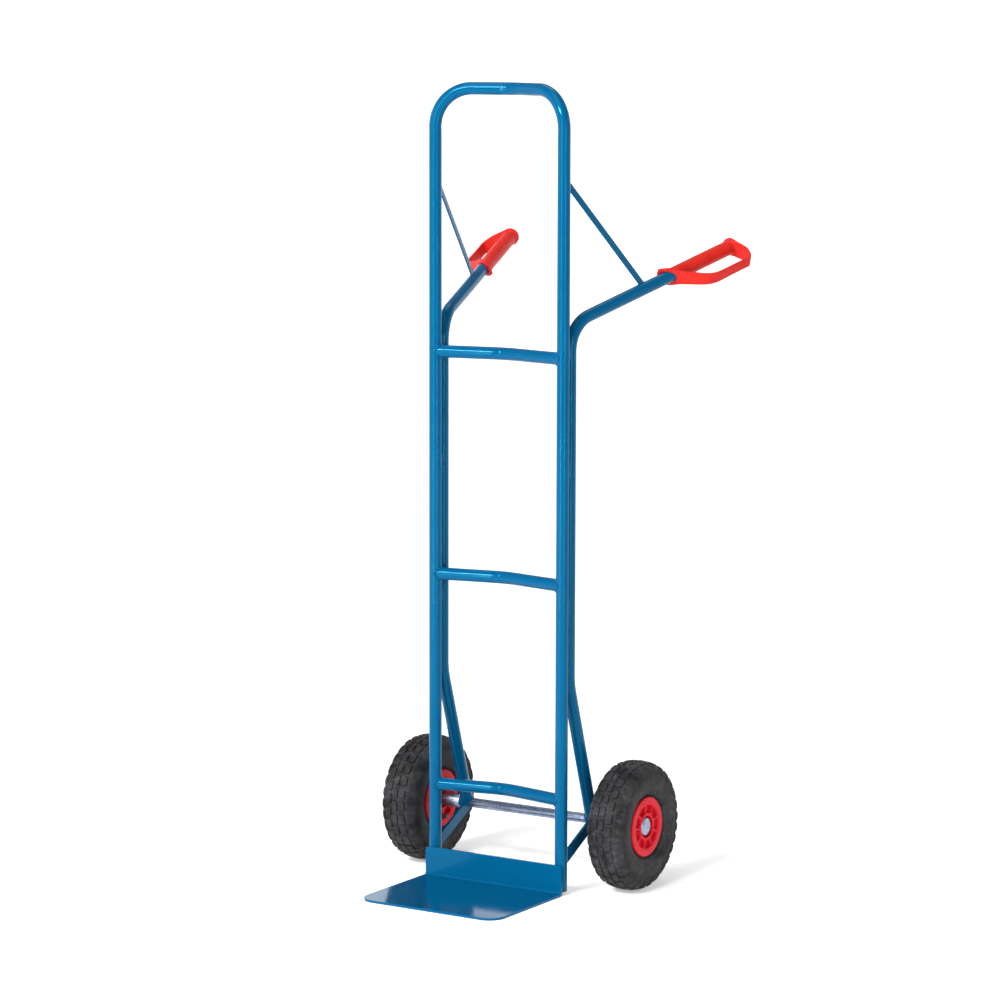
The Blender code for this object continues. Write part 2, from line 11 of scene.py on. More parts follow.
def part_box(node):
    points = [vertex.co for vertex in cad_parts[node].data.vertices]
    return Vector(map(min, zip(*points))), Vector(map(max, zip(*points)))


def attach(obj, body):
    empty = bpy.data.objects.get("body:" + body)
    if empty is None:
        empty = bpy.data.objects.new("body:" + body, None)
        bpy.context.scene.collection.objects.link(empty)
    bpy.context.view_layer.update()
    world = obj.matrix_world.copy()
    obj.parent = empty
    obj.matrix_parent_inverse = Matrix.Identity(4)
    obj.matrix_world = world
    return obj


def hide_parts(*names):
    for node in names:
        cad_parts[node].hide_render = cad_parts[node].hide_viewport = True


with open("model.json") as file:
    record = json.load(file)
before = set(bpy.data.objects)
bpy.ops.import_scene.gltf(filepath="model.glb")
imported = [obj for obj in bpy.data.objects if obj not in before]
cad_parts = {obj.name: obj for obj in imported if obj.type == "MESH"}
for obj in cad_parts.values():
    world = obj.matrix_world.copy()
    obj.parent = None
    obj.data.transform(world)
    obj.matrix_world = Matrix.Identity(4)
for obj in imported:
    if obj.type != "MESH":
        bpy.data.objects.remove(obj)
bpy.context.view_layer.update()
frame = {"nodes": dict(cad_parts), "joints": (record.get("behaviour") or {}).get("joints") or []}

MM = 0.001
SIDES = {"left": -1, "right": 1}

# Frame, as in the CAD source
TUBE_R = 12.7 * MM
TUBE_BORE = 10.7 * MM
RAIL_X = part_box("main_hoop")[1].x - TUBE_R
RAIL_Y = -103.0 * MM
RAIL_FOOT_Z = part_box("main_hoop")[0].z
HOOP_TOP_Z = 1588.0 * MM
HOOP_KINK = 50.9 * MM
HOOP_CORNER_R = 75.0 * MM
HOOP_KINK_R = 85.0 * MM
CROSSBAR_Z = {"upper": 1067.5 * MM, "middle": 620.0 * MM, "lower": 190.0 * MM}
CROSSBAR_KINK = 29.8 * MM
CROSSBAR_KINK_R = 150.0 * MM
HANDLE_Y = RAIL_Y + 25.7 * MM
HANDLE_BEND_Z = 1133.0 * MM
HANDLE_BEND_R = 70.0 * MM
HANDLE_SPLAY = radians(14.8)
HANDLE_RISE = radians(16.3)
HANDLE_TUBE_END = 450.0 * MM
LEG_TOP_Z = 420.0 * MM
LEG_BEND_R = 120.0 * MM
BRACE_RAIL_Z = 1418.0 * MM
BRACE_ALONG = 214.0 * MM
BRACE_HALF = (1.5 * MM, 6.5 * MM)
AXLE_R = 10.0 * MM
WHEEL_TURN = radians(7.7)
JOINTS = {j["child"]: Vector(j["pos_m"]) for j in frame["joints"]}
AXLE_Y, AXLE_Z = JOINTS["wheel_right"].y, JOINTS["wheel_right"].z
AXLE_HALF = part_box("axle")[1].x

# Finish of the frame
COPE_GAP = 0.05 * MM                # between a trimmed end and the round it meets
SEAM_Y = (RAIL_Y + HANDLE_Y) / 2
SEAM_Z = (445 * MM, 1100 * MM)      # where paint closes the line between rail and handle tube
TACK_Z = ((1062 * MM, 1100 * MM), (832 * MM, 866 * MM), (560 * MM, 594 * MM))
TOE_WELD_Z = (18 * MM, 58 * MM)
KINK_STEP = 1.6 * MM
PRESS_DEPTH, PRESS_HALF_X, PRESS_HALF_Z, PRESS_SOFT = 0.9 * MM, 8.5 * MM, 10.5 * MM, 3.0 * MM
DIE_DEPTH, DIE_HALF_Z = 0.45 * MM, 7 * MM


# ---------------------------------------------------------------- pieces and meshes
def add_piece(name, mesh, mat, slot, nodes=(), body="root", matrix=None):
    """A finished piece that rides on a CAD body and stands for CAD nodes."""
    obj = bpy.data.objects.new(name, mesh)
    bpy.context.scene.collection.objects.link(obj)
    if not mesh.materials:
        mesh.materials.append(mat)
    if matrix is not None:
        obj.matrix_world = matrix
    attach(obj, body)
    if nodes:
        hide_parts(*nodes)
    return obj


def paint_node(node, mat):
    """A CAD node whose shape is right keeps it, with a finished material."""
    obj = frame["nodes"][node]
    obj.data.materials.clear()
    obj.data.materials.append(mat)
    return obj


def make_mesh(name, verts, faces, sharp=radians(35)):
    mesh = bpy.data.meshes.new(name)
    mesh.from_pydata([tuple(v) for v in verts], [], faces)
    mesh.validate()
    bm = bmesh.new()
    bm.from_mesh(mesh)
    bmesh.ops.remove_doubles(bm, verts=bm.verts, dist=0.002 * MM)
    bmesh.ops.recalc_face_normals(bm, faces=bm.faces)
    bm.to_mesh(mesh)
    bm.free()
    mesh.shade_smooth()
    mesh.set_sharp_from_angle(angle=sharp)
    return mesh


def frame_matrix(x_axis, y_axis, z_axis, origin):
    rows = Matrix((x_axis, y_axis, z_axis)).transposed()
    return Matrix.Translation(origin) @ rows.to_4x4()


def bent_path(corners, radii, step=radians(3)):
    """Polyline through the corners, each inner corner rounded to its radius."""
    corners = [Vector(c) for c in corners]
    points = [corners[0]]
    for before, corner, after, radius in zip(corners, corners[1:], corners[2:], radii):
        back, ahead = (before - corner).normalized(), (after - corner).normalized()
        turn = pi - back.angle(ahead)
        reach = radius * tan(turn / 2)
        centre = corner + (back + ahead).normalized() * radius / cos(turn / 2)
        first = corner + back * reach - centre
        axis = first.cross(corner + ahead * reach - centre).normalized()
        count = max(2, ceil(turn / step))
        points += [centre + Matrix.Rotation(turn * i / count, 3, axis) @ first
                   for i in range(count + 1)]
    return points + [corners[-1]]


def refine(points, longest, near=None):
    """The same polyline with no step longer than this, everywhere or only near some points."""
    fine = [points[0]]
    for a, b in zip(points, points[1:]):
        wanted = near is None or near(a) or near(b)
        count = max(1, ceil((b - a).length / longest)) if wanted else 1
        fine += [a.lerp(b, i / count) for i in range(1, count + 1)]
    return fine


def circle(radius, sides):
    return [(radius * cos(2 * pi * i / sides), radius * sin(2 * pi * i / sides))
            for i in range(sides)]


def level_ring(radius, z, sides):
    return [Vector((x, y, z)) for x, y in circle(radius, sides)]


def skin(start, size, rows, closed=False):
    """Quads between neighbouring rings of points; start is the index of the first point."""
    faces = []
    for row in range(rows if closed else rows - 1):
        a, b = start + row * size, start + (row + 1) % rows * size
        faces += [(a + i, a + (i + 1) % size, b + (i + 1) % size, b + i) for i in range(size)]
    return faces


def rounded_rect(half_a, half_b, radius):
    """Closed outline of a rounded rectangle."""
    radius = min(radius, half_a * 0.98, half_b * 0.98)
    points, corner_steps = [], 3
    for quarter, (sa, sb) in enumerate(((1, 1), (-1, 1), (-1, -1), (1, -1))):
        for i in range(corner_steps + 1):
            turn = pi / 2 * (quarter + i / corner_steps)
            points.append((sa * (half_a - radius) + radius * cos(turn),
                           sb * (half_b - radius) + radius * sin(turn)))
    return points


def tangents_of(points):
    steps = [(b - a).normalized() for a, b in zip(points, points[1:])]
    return [steps[0]] + [(a + b).normalized() for a, b in zip(steps, steps[1:])] + [steps[-1]]


def onto_round(centre, axis, radius):
    """Trims an end to the surface of a round bar: a fish-mouth."""
    centre, axis = Vector(centre), Vector(axis)

    def trim(point, heading):
        start = point - heading * 30 * MM
        away = start - centre
        away -= axis * away.dot(axis)
        flat = heading - axis * heading.dot(axis)
        square, half = flat.dot(flat), away.dot(flat)
        root = sqrt(max(half * half - square * (away.dot(away) - radius * radius), 0))
        return start - heading * ((half + root) / square)
    return trim


def sweep(name, points, loops, trims=(None, None), up=(0, 0, 1), press=None):
    """Solid along a path from an outer outline and, for a tube, an inner one.
    Returns the mesh and the outer loops of its two ends."""
    tangents = tangents_of(points)
    normal = Vector(up) - tangents[0] * tangents[0].dot(Vector(up))
    normal.normalize()
    rings = [[] for _ in loops]
    for i, (point, tangent) in enumerate(zip(points, tangents)):
        if i:
            normal = tangents[i - 1].rotation_difference(tangent) @ normal
        side = tangent.cross(normal)
        for ring, loop in zip(rings, loops):
            ring.append([point + normal * a + side * b for a, b in loop])
    for end, trim, heading in ((0, trims[0], -tangents[0]), (-1, trims[1], tangents[-1])):
        if trim:
            for ring in rings:
                ring[end] = [trim(p, heading) for p in ring[end]]
    if press:
        rings[0] = [[press(p, c) for p in ring] for ring, c in zip(rings[0], points)]
    verts, faces, starts = [], [], []
    for ring, loop in zip(rings, loops):
        starts.append(len(verts))
        verts += [point for section in ring for point in section]
        faces += skin(starts[-1], len(loop), len(points))
    size, last = len(loops[0]), len(points) - 1
    for i in (0, last):
        first = starts[0] + i * size
        if len(loops) == 2:
            inner = starts[1] + i * size
            faces += [(first + j, first + (j + 1) % size, inner + (j + 1) % size, inner + j)
                      for j in range(size)]
        else:
            verts.append(sum((verts[first + j] for j in range(size)), Vector()) / size)
            faces += [(first + j, first + (j + 1) % size, len(verts) - 1) for j in range(size)]
    return make_mesh(name, verts, faces), (rings[0][0], rings[0][-1])


def revolve(name, profile, segments, sharp=radians(35)):
    """Solid of revolution about local Z from a closed loop of (radius, height)."""
    verts, faces, rows = [], [], []
    for r, z in profile:
        ring = level_ring(r, z, segments if r > 0 else 1)
        rows.append([len(verts) + i % len(ring) for i in range(segments)])
        verts += ring
    for low, high in zip(rows, rows[1:] + rows[:1]):
        for i in range(segments):
            k = (i + 1) % segments
            face = list(dict.fromkeys((low[i], low[k], high[k], high[i])))
            if len(face) > 2:
                faces.append(face)
    return make_mesh(name, verts, faces, sharp)


def fillet_profile(corners, radii, steps=4):
    """Closed (radius, height) loop in metres, from corners and their radii in mm."""
    loop, count = [], len(corners)
    for i, radius in enumerate(radii):
        trio = [Vector((*corners[(i + k) % count], 0)) for k in (-1, 0, 1)]
        if radius:
            turn = pi - (trio[0] - trio[1]).angle(trio[2] - trio[1])
            loop += [(p.x * MM, p.y * MM)
                     for p in bent_path(trio, [radius], turn / steps * 1.001)[1:-1]]
        else:
            loop.append((trio[1].x * MM, trio[1].y * MM))
    return loop


# ---------------------------------------------------------------- node materials
class Shader:
    """A Principled material with object-space texture helpers."""

    def __init__(self, name, **sockets):
        self.mat = bpy.data.materials.new(name)
        self.mat.use_nodes = True
        self.tree = self.mat.node_tree
        self.bsdf = self.tree.nodes["Principled BSDF"]
        for key, value in sockets.items():
            self.bsdf.inputs[key.replace("_", " ")].default_value = value
        self.coords = self.node("ShaderNodeTexCoord").outputs["Object"]
        self.height = None

    def node(self, kind, **settings):
        node = self.tree.nodes.new(kind)
        for key, value in settings.items():
            if hasattr(node, key):
                setattr(node, key, value)
            else:
                node.inputs[key.replace("_", " ")].default_value = value
        return node

    def link(self, source, target):
        self.tree.links.new(source, target)

    def stretched(self, scale):
        mapping = self.node("ShaderNodeMapping")
        mapping.inputs["Scale"].default_value = scale
        self.link(self.coords, mapping.inputs["Vector"])
        return mapping.outputs["Vector"]

    def noise(self, per_metre, detail=3.0, rough=0.5, coords=None, distortion=0.0):
        node = self.node("ShaderNodeTexNoise", Scale=per_metre, Detail=detail, Roughness=rough,
                         Distortion=distortion)
        self.link(coords or self.coords, node.inputs["Vector"])
        return node.outputs["Fac"]

    def cells(self, per_metre):
        node = self.node("ShaderNodeTexVoronoi", Scale=per_metre)
        self.link(self.coords, node.inputs["Vector"])
        return node.outputs["Distance"]

    def spread(self, value, low, high, to_low=0.0, to_high=1.0):
        node = self.node("ShaderNodeMapRange")
        self.link(value, node.inputs["Value"])
        for key, number in (("From Min", low), ("From Max", high), ("To Min", to_low),
                            ("To Max", to_high)):
            node.inputs[key].default_value = number
        return node.outputs["Result"]

    def times(self, a, b):
        node = self.node("ShaderNodeMath", operation="MULTIPLY")
        self.link(a, node.inputs[0])
        if isinstance(b, float):
            node.inputs[1].default_value = b
        else:
            self.link(b, node.inputs[1])
        return node.outputs[0]

    def mix(self, factor, a, b):
        """Colour mix; a and b are colours or sockets."""
        node = self.node("ShaderNodeMix", data_type="RGBA")
        self.link(factor, node.inputs["Factor"])
        for key, colour in ((6, a), (7, b)):
            if isinstance(colour, tuple):
                node.inputs[key].default_value = (*colour, 1.0)
            else:
                self.link(colour, node.inputs[key])
        return node.outputs[2]

    def bump(self, height, depth, strength=1.0):
        """Adds a height field, depth in metres, to the surface's bump."""
        node = self.node("ShaderNodeBump", Strength=strength, Distance=depth)
        self.link(height, node.inputs["Height"])
        if self.height:
            self.link(self.height, node.inputs["Normal"])
        self.height = node.outputs["Normal"]

    def done(self, colour, roughness=None):
        self.link(colour, self.bsdf.inputs["Base Color"])
        if roughness:
            self.link(roughness, self.bsdf.inputs["Roughness"])
        if self.height:
            self.link(self.height, self.bsdf.inputs["Normal"])
        return self.mat


def powder_coat():
    """Glossy blue powder coat: orange peel, faint cloudiness, a few specks."""
    s = Shader("powder_coat_blue", Specular_IOR_Level=0.32, Specular_Tint=(0.16, 0.76, 1.0, 1.0))
    cloud = s.spread(s.noise(7, 3), 0.30, 0.70)
    colour = s.mix(cloud, (0.0, 0.071, 0.172), (0.0, 0.078, 0.184))
    specks = s.spread(s.cells(420), 0.0, 0.10, 1.0, 0.0)
    rare = s.spread(s.noise(90, 1), 0.62, 0.70)
    colour = s.mix(s.times(s.times(specks, rare), 0.35), colour, (0.01, 0.17, 0.36))
    s.bump(s.noise(620, 2, 0.45), 0.02 * MM, 0.6)
    s.bump(s.noise(85, 2, 0.4), 0.06 * MM, 0.5)
    return s.done(colour, s.spread(s.noise(60, 3), 0.3, 0.7, 0.085, 0.13))


def moulded_red(name, deep, pale, rough_low, rough_high, grain):
    """Injection-moulded plastic: fine spark-erosion grain, flow marks, slight gloss changes."""
    s = Shader(name, Specular_IOR_Level=0.09, Subsurface_Weight=0.06, Subsurface_Scale=2 * MM)
    s.bsdf.inputs["Subsurface Radius"].default_value = (1.0, 0.25, 0.15)
    flow = s.spread(s.noise(26, 4, 0.55, s.stretched((1.0, 1.0, 0.35)), 0.6), 0.32, 0.68)
    colour = s.mix(flow, deep, pale)
    s.bump(s.noise(1700, 2, 0.6), grain, 0.5)
    s.bump(s.noise(130, 2), 0.05 * MM, 0.5)
    return s.done(colour, s.spread(s.noise(45, 4, 0.6), 0.3, 0.7, rough_low, rough_high))


def tyre_rubber():
    """Dark grey tyre rubber with bloom, pale streaks that are partly scuffs and partly painted
    highlight smears, and a fine pebble.
    """
    s = Shader("tyre_rubber", Specular_IOR_Level=0.14)
    bloom = s.spread(s.noise(22, 5, 0.6, distortion=0.8), 0.38, 0.66)
    colour = s.mix(bloom, (0.011, 0.011, 0.012), (0.036, 0.036, 0.038))
    # pale streaks: partly rubber scuffs, partly painted highlight smears standing in for light
    # catching the rubber
    scuff_and_sheen_streak = s.spread(s.noise(95, 4, 0.65, s.stretched((1.0, 1.0, 0.4))), 0.50, 0.72, 0.0, 0.6)
    colour = s.mix(s.times(scuff_and_sheen_streak, bloom), colour, (0.085, 0.086, 0.089))
    s.bump(s.noise(1500, 3, 0.6), 0.10 * MM, 0.6)
    s.bump(s.noise(170, 3), 0.20 * MM, 0.5)
    return s.done(colour, s.spread(bloom, 0.0, 1.0, 0.52, 0.74))


def butyl_rubber():
    s = Shader("butyl_rubber", Specular_IOR_Level=0.4)
    bloom = s.spread(s.noise(60, 4), 0.35, 0.7)
    s.bump(s.noise(900, 2), 0.05 * MM, 0.5)
    return s.done(s.mix(bloom, (0.012, 0.012, 0.013), (0.035, 0.035, 0.037)),
                  s.spread(bloom, 0.0, 1.0, 0.42, 0.62))


def zinc_plate():
    """Bright zinc: bluish passivation clouds over fine turning marks."""
    s = Shader("zinc_plate", Metallic=1.0)
    cloud = s.spread(s.noise(70, 4, 0.6, distortion=0.5), 0.3, 0.7)
    colour = s.mix(cloud, (0.20, 0.25, 0.37), (0.36, 0.41, 0.53))
    s.bump(s.noise(420, 2, 0.5, s.stretched((1.0, 1.0, 6.0))), 0.010 * MM, 0.4)
    return s.done(colour, s.spread(s.noise(240, 3), 0.3, 0.7, 0.26, 0.36))


def ground_steel():
    s = Shader("ground_steel", Metallic=1.0)
    lines = s.noise(2600, 2, 0.5, s.stretched((1.0, 1.0, 0.04)))
    s.bump(lines, 0.02 * MM, 0.4)
    colour = s.mix(s.spread(lines, 0.3, 0.7), (0.50, 0.50, 0.51), (0.66, 0.66, 0.67))
    return s.done(colour, s.spread(s.noise(300, 2), 0.3, 0.7, 0.18, 0.30))


def plain_plastic(name, deep, pale, roughness):
    s = Shader(name, Specular_IOR_Level=0.45)
    cloud = s.spread(s.noise(80, 3), 0.3, 0.7)
    s.bump(s.noise(1500, 2), 0.03 * MM, 0.5)
    return s.done(s.mix(cloud, deep, pale), s.spread(cloud, 0.0, 1.0, *roughness))


PAINT = powder_coat()
GRIP_RED = moulded_red("grip_plastic_red", (0.50, 0.014, 0.010), (0.57, 0.022, 0.016), 0.34, 0.44,
                       0.05 * MM)
RIM_RED = moulded_red("rim_plastic_red", (0.55, 0.008, 0.018), (0.62, 0.013, 0.027), 0.28, 0.40,
                      0.03 * MM)
RUBBER = tyre_rubber()
BUTYL = butyl_rubber()
ZINC = zinc_plate()
STEEL = ground_steel()
NYLON = plain_plastic("cage_nylon", (0.62, 0.60, 0.52), (0.72, 0.70, 0.62), (0.42, 0.55))
BLACK = plain_plastic("black_polyethylene", (0.012, 0.012, 0.013), (0.028, 0.028, 0.030),
                      (0.38, 0.52))


# ---------------------------------------------------------------- welds
def weld_bead(points, outward, radius, closed=True):
    """Rippled bead along a line; outward gives a steady side direction at each point."""
    sides, step, pitch = 10, 0.55 * MM, 2.2 * MM
    count = len(points)
    spans = count if closed else count - 1
    path, away, at = [], [], [0.0]
    for i in range(spans):
        a, b = points[i], points[(i + 1) % count]
        pieces = max(1, ceil((b - a).length / step))
        for k in range(pieces):
            path.append(a.lerp(b, k / pieces))
            away.append(outward[i].lerp(outward[(i + 1) % count], k / pieces).normalized())
            at.append(at[-1] + (b - a).length / pieces)
    if not closed:
        path.append(points[-1])
        away.append(outward[-1])
    total = at[-1]
    pitch = total / max(1, round(total / pitch))
    verts, size = [], len(path)
    for i, (point, out) in enumerate(zip(path, away)):
        ahead = path[(i + 1) % size] if closed or i + 1 < size else point
        behind = path[i - 1] if closed or i else point
        tangent = (ahead - behind).normalized()
        side = tangent.cross(out).normalized()
        ripple = abs(sin(pi * at[i] / pitch))
        wander = sin(at[i] * 310) * 0.06 + sin(at[i] * 830 + 1.3) * 0.04
        girth = radius * (0.90 + 0.12 * ripple + wander)
        if not closed:
            girth *= sqrt(max(0.05, 1 - abs(2 * at[i] / total - 1) ** 6))
        verts += [point + out * a + side * b for a, b in circle(girth, sides)]
    faces = skin(0, sides, size, closed)
    if not closed:
        faces += [list(range(sides)), list(range((size - 1) * sides, size * sides))]
    return verts, faces


def upright_bead(x, y, low, high, edge, radius):
    """Bead between two heights, on the left (edge -1) or the right (1) of a joint."""
    line = [Vector((x, y, z)) for z in (low, high)]
    return weld_bead(line, [Vector((edge, 0, 0))] * 2, radius, closed=False)


def welds(name, beads):
    """One piece from several beads."""
    verts, faces = [], []
    for bead_verts, bead_faces in beads:
        start = len(verts)
        verts += bead_verts
        faces += [[start + i for i in face] for face in bead_faces]
    return add_piece(name, make_mesh(name, verts, faces, radians(60)), PAINT, "frame_paint")


def round_joint(loop, heading, radius=2.2 * MM, lift=0.3 * MM):
    """Bead round a coped end: loop is the end's outline, heading points into the other part."""
    middle = sum(loop, Vector()) / len(loop)
    outward = []
    for point in loop:
        away = point - middle
        away -= heading * away.dot(heading)
        outward.append(away.normalized())
    points = [p + o * lift - heading * lift for p, o in zip(loop, outward)]
    return weld_bead(points, outward, radius)


# ---------------------------------------------------------------- frame pieces
TUBE_LOOPS = [circle(TUBE_R, 48), circle(TUBE_BORE, 48)]


def press_mark(middle):
    """The flat that the press leaves on the front of a kinked tube."""
    def press(point, centre):
        if point.y > centre.y:
            return point
        lane = min(1.0, max(0.0, (PRESS_HALF_X - abs(point.x - middle.x)) / PRESS_SOFT))
        lane = lane * lane * (3 - 2 * lane)
        rise = max(0.0, 1 - ((point.z - middle.z) / PRESS_HALF_Z) ** 2)
        return point + Vector((0, PRESS_DEPTH * lane * rise, 0))
    return press


def build_hoop():
    corners = [(-RAIL_X, RAIL_Y, RAIL_FOOT_Z), (-RAIL_X, RAIL_Y, HOOP_TOP_Z),
               (0, RAIL_Y + HOOP_KINK, HOOP_TOP_Z), (RAIL_X, RAIL_Y, HOOP_TOP_Z),
               (RAIL_X, RAIL_Y, RAIL_FOOT_Z)]
    path = bent_path(corners, [HOOP_CORNER_R, HOOP_KINK_R, HOOP_CORNER_R])
    stamp = press_mark(min(path, key=lambda p: abs(p.x)))
    bend_foot = HOOP_TOP_Z - HOOP_CORNER_R
    path = refine(path, 40 * MM)
    path = refine(path, KINK_STEP, lambda p: abs(p.x) < 30 * MM)
    path = refine(path, 2 * MM, lambda p: abs(p.z - bend_foot) < 12 * MM)

    def press(point, centre):
        fade = 1 - ((point.z - bend_foot) / DIE_HALF_Z) ** 2
        if fade <= 0:
            return stamp(point, centre)
        inner = max(0.0, (abs(centre.x) - abs(point.x)) / TUBE_R)   # mark of the bending die
        return point + Vector((copysign(DIE_DEPTH * inner * fade, centre.x), 0, 0))
    mesh, _ = sweep("hoop_tube", path, TUBE_LOOPS, press=press, up=(1, 0, 0))
    add_piece("hoop_tube", mesh, PAINT, "frame_paint", ["main_hoop"])


def build_crossbars():
    trims = [onto_round((x, RAIL_Y, 0), (0, 0, 1), TUBE_R + COPE_GAP) for x in (-RAIL_X, RAIL_X)]
    for place, height in CROSSBAR_Z.items():
        corners = [(-RAIL_X, RAIL_Y, height), (0, RAIL_Y + CROSSBAR_KINK, height),
                   (RAIL_X, RAIL_Y, height)]
        path = bent_path(corners, [CROSSBAR_KINK_R], radians(1.5))
        stamp = press_mark(min(path, key=lambda p: abs(p.x)))
        path = refine(path, KINK_STEP, lambda p: abs(p.x) < 20 * MM)
        name = "crossbar_%s_tube" % place
        mesh, ends = sweep(name, path, TUBE_LOOPS, trims, press=stamp)
        add_piece(name, mesh, PAINT, "frame_paint", ["crossbar_" + place])
        welds("welds_crossbar_" + place,
              [round_joint(ends[0], (path[0] - path[1]).normalized()),
               round_joint(ends[1], (path[-1] - path[-2]).normalized())])


def handle_direction(sign):
    return Vector((sign * sin(HANDLE_SPLAY) * cos(HANDLE_RISE),
                   cos(HANDLE_SPLAY) * cos(HANDLE_RISE), sin(HANDLE_RISE)))


def handle_point(sign, along):
    return Vector((sign * RAIL_X, HANDLE_Y, HANDLE_BEND_Z)) + handle_direction(sign) * along


def build_handle(side, sign):
    corners = [(sign * RAIL_X, AXLE_Y, AXLE_Z), (sign * RAIL_X, HANDLE_Y, LEG_TOP_Z),
               (sign * RAIL_X, HANDLE_Y, HANDLE_BEND_Z), handle_point(sign, HANDLE_TUBE_END)]
    path = bent_path(corners, [LEG_BEND_R, HANDLE_BEND_R])
    trim = onto_round((0, AXLE_Y, AXLE_Z), (1, 0, 0), AXLE_R + COPE_GAP)
    mesh, ends = sweep("handle_tube_long_" + side, path, TUBE_LOOPS, (trim, None),
                       up=(0, 1, 0))
    add_piece("handle_tube_long_" + side, mesh, PAINT, "frame_paint", ["handle_tube_" + side])

    beads = [round_joint(ends[0], (path[0] - path[1]).normalized(), 2.6 * MM)]
    for low, high in TACK_Z:
        for edge in (-1, 1):
            x = sign * RAIL_X + edge * 6.4 * MM
            beads.append(upright_bead(x, SEAM_Y, low, high, edge, 3.4 * MM))
    welds("welds_handle_" + side, beads)

    seam = [Vector((sign * RAIL_X, SEAM_Y, z)) for z in SEAM_Z]
    mesh, _ = sweep("paint_seam_" + side, seam, [rounded_rect(0.6 * MM, 3.8 * MM, 0.4 * MM)],
                    up=(0, 1, 0))
    add_piece("paint_seam_" + side, mesh, PAINT, "frame_paint")


def build_brace(side, sign):
    start = Vector((sign * RAIL_X, RAIL_Y, BRACE_RAIL_Z))
    end = handle_point(sign, BRACE_ALONG)
    along = (end - start).normalized()
    across = along.cross(Vector((0, 0, 1))).normalized()
    path = refine([start, end], 60 * MM)
    loop = rounded_rect(*BRACE_HALF, 0.7 * MM)
    trims = (onto_round((sign * RAIL_X, RAIL_Y, 0), (0, 0, 1), TUBE_R + COPE_GAP),
             onto_round(end, handle_direction(sign), TUBE_R + COPE_GAP))
    mesh, ends = sweep("brace_bar_" + side, path, [loop], trims, up=across)
    add_piece("brace_bar_" + side, mesh, PAINT, "frame_paint", ["handle_brace_" + side])
    welds("welds_brace_" + side, [round_joint(loop, way, 1.5 * MM, 0.2 * MM)
                                  for loop, way in zip(ends, (-along, along))])


def bevel(obj, width):
    mod = obj.modifiers.new("edges", "BEVEL")
    mod.width, mod.segments = width, 2
    mod.limit_method, mod.angle_limit = "ANGLE", radians(40)


def build_toe_plate():
    """Folded sheet: rounded front corners, a fold and an upstand with softened corners."""
    low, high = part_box("toe_plate")
    thick, front_r, top_r, columns = 5 * MM, 35 * MM, 6 * MM, 24
    path = bent_path([(0, low.y, thick / 2), (0, high.y - thick / 2, thick / 2),
                      (0, high.y - thick / 2, high.z)], [6.5 * MM], radians(10))
    from_front = [front_r * (1 - cos(pi / 2 * i / 14)) for i in range(15)] + [90 * MM]
    from_top = [6 * MM, 3.5 * MM, 1.6 * MM, 0.4 * MM, 0]
    steps = ([path[0] + Vector((0, d, 0)) for d in from_front] + path[1:-1]
             + [path[-1] - Vector((0, 0, d)) for d in from_top])
    verts = []
    for point, tangent in zip(steps, tangents_of(steps)):
        half = high.x
        for radius, gap in ((front_r, point.y - low.y), (top_r, high.z - point.z)):
            if gap < radius:
                half -= radius - sqrt(max(0, radius ** 2 - (radius - gap) ** 2))
        lift = Vector((1, 0, 0)).cross(tangent) * thick / 2
        row = [point + Vector((half * (2 * k / columns - 1), 0, 0)) for k in range(columns + 1)]
        verts += [p - lift for p in row] + [p + lift for p in reversed(row)]
    size = 2 * (columns + 1)
    faces = skin(0, size, len(steps))
    for base in (0, len(verts) - size):
        faces += [(base + k, base + k + 1, base + size - 2 - k, base + size - 1 - k)
                  for k in range(columns)]
    mesh = make_mesh("toe_plate_sheet", verts, faces, radians(50))
    plate = add_piece("toe_plate_sheet", mesh, PAINT, "frame_paint", ["toe_plate"])
    bevel(plate, 0.7 * MM)
    y = RAIL_Y - TUBE_R + 1.2 * MM
    welds("welds_toe_plate",
          [upright_bead(sign * RAIL_X + edge * 7.2 * MM, y, *TOE_WELD_Z, edge, 2.6 * MM)
           for sign in SIDES.values() for edge in (-1, 1)])


def build_plugs(side, sign):
    profile = fillet_profile([(0, 6), (12.4, 6), (12.4, 11.7), (9.8, 11.7), (9.8, 30), (0, 30)],
                             [0, 1.8, 0, 0, 1.5, 0])
    mesh = revolve("foot_plug_" + side, profile, 64)
    add_piece("foot_plug_" + side, mesh, BLACK, "black_plastic", ["rail_plug_" + side],
              matrix=Matrix.Translation((sign * RAIL_X, RAIL_Y, 0)))


build_hoop()
build_crossbars()
for side, sign in SIDES.items():
    build_handle(side, sign)
    build_brace(side, sign)
    build_plugs(side, sign)
    bevel(paint_node("axle_strut_" + side, PAINT), 0.6 * MM)
build_toe_plate()


